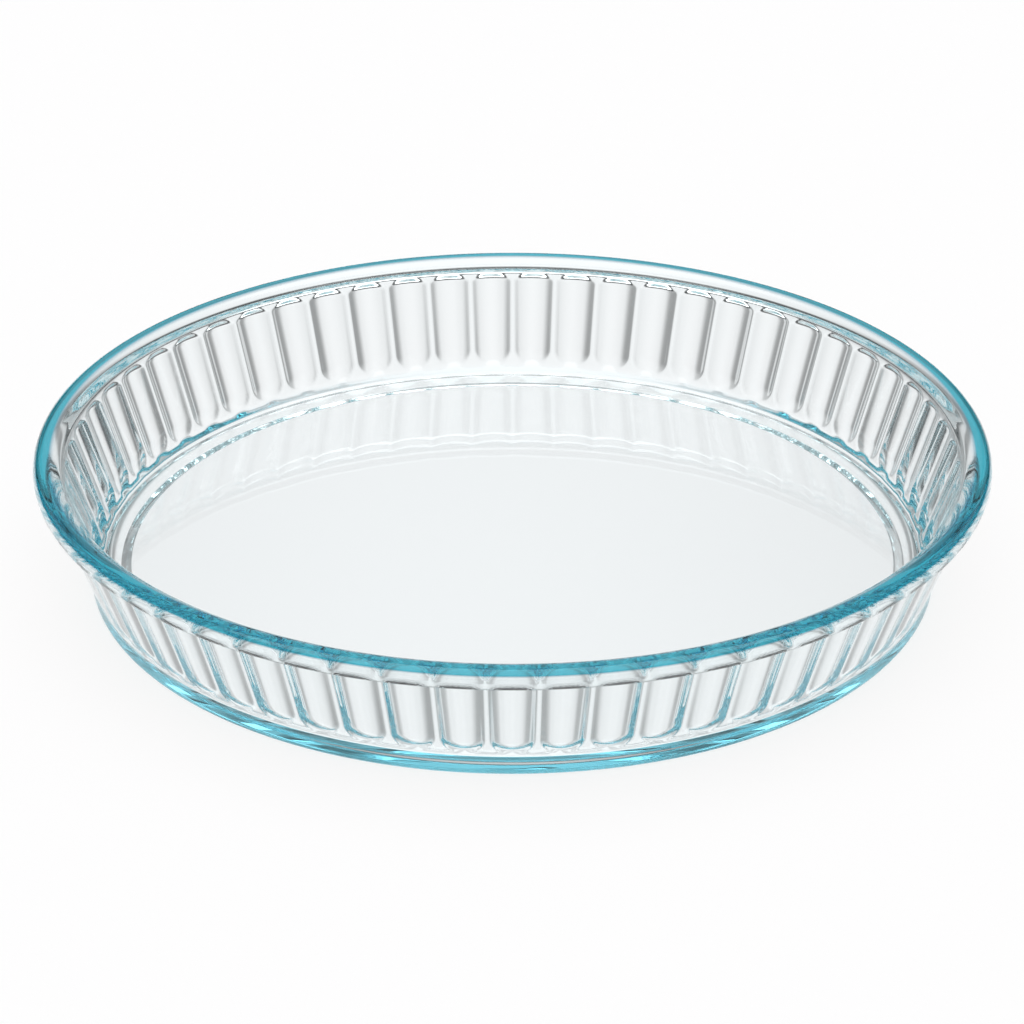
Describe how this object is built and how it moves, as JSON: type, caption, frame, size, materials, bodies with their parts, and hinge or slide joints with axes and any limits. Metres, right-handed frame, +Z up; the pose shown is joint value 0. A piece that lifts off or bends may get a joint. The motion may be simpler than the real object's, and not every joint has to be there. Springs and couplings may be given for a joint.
{
  "type": "flan dish",
  "caption": "Round clear glass flan dish with a flat floor, a flared wall fluted on the inside and a thick rounded rim; it bakes and serves an open tart.",
  "frame": {"origin": "middle of the face that the dish stands on", "axes": "+Z up along the dish's axis; a flute is centred on -Y"},
  "size_m": [0.28, 0.28, 0.04],
  "materials": {
    "clear_glass": "polished, with a blue-green tint where the glass is thick"
  },
  "bodies": {
    "root": {"flan_dish": "clear_glass"}
  },
  "joints": []
}
